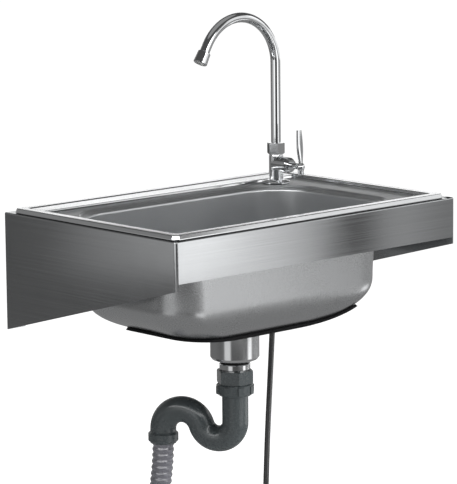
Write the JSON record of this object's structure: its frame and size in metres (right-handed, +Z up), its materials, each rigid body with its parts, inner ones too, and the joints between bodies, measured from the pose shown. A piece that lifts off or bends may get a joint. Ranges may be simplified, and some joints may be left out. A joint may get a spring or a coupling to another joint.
{
  "type": "wall-mounted hand sink",
  "caption": "Stainless hand basin on a folded wall bracket, with a swivelling gooseneck tap, lever valve, lift-out strainer, trap and flexible waste hose.",
  "frame": {"origin": "on the wall, in the middle of the bracket's width, at the bracket's top", "axes": "+X along the wall to the user's right, +Y into the wall, +Z up"},
  "size_m": [0.57, 0.384, 1.065],
  "materials": {
    "bracket_steel": "brushed, satin",
    "basin_steel": "satin pressed sheet",
    "chrome": "polished plating",
    "brass": "turned",
    "screw_steel": "blackened",
    "black_rubber": "matt",
    "black_plastic": "moulded",
    "grey_pvc": "moulded, slightly glossy",
    "grey_hose": "ribbed, soft",
    "supply_hose": "smooth sleeve",
    "ceramic": "ground ceramic",
    "white_plastic": "moulded"
  },
  "bodies": {
    "sink": {"bracket_shell": "bracket_steel", "rear_rail": "bracket_steel", "sink_basin": "basin_steel", "strainer_body": "basin_steel", "outlet_neck": "chrome", "neck_nut": "chrome", "base_flange": "chrome", "tap_body": "chrome", "clamp_washer": "chrome", "collar_nut": "chrome", "bonnet_nut": "chrome", "supply_nut": "chrome", "supply_sleeve": "chrome", "inlet_sleeve": "chrome", "inlet_nut": "chrome", "tap_shank": "brass", "tap_backnut": "brass", "valve_cartridge": "brass", "supply_tail": "brass", "inlet_tail": "brass", "rim_seal": "black_rubber", "sound_pad": "black_rubber", "flange_gasket": "black_rubber", "under_gasket": "black_rubber", "neck_washer": "black_rubber", "neck_seal": "black_rubber", "cone_seal": "black_rubber", "hose_seal": "black_rubber", "base_seal": "black_rubber", "deck_washer": "black_rubber", "spout_o_rings": "black_rubber", "valve_seal": "black_rubber", "supply_washer": "black_rubber", "inlet_washer": "black_rubber", "strainer_locknut": "black_plastic", "inlet_adapter": "grey_pvc", "ring_nut": "grey_pvc", "trap_bend": "grey_pvc", "hose_end_connector": "grey_pvc", "drain_hose": "grey_hose", "supply_tube": "supply_hose", "fixed_disc": "ceramic"},
    "spout": {"spout_tube": "chrome", "spout_ring": "white_plastic", "aerator_housing": "chrome", "aerator_insert": "white_plastic"},
    "lever": {"lever_handle": "chrome", "lever_grub_screw": "screw_steel", "valve_spindle": "chrome", "moving_disc": "ceramic"},
    "basket": {"strainer_basket": "basin_steel", "basket_knob": "chrome", "basket_stopper": "black_rubber"}
  },
  "joints": [
    {"name": "spout_swivel", "type": "hinge", "parent": "sink", "child": "spout", "pos_m": [0.19001, -0.088, 0.06], "axis": [0, 0, 1], "range_deg": [-25, 205]},
    {"name": "lever_turn", "type": "hinge", "parent": "sink", "child": "lever", "pos_m": [0.19001, -0.144, 0.0331], "axis": [0, -1, 0], "range_deg": [0, 90]},
    {"name": "basket_lift", "type": "slide", "parent": "sink", "child": "basket", "axis": [0, 0, 1], "range_m": [0, 0.06]}
  ]
}
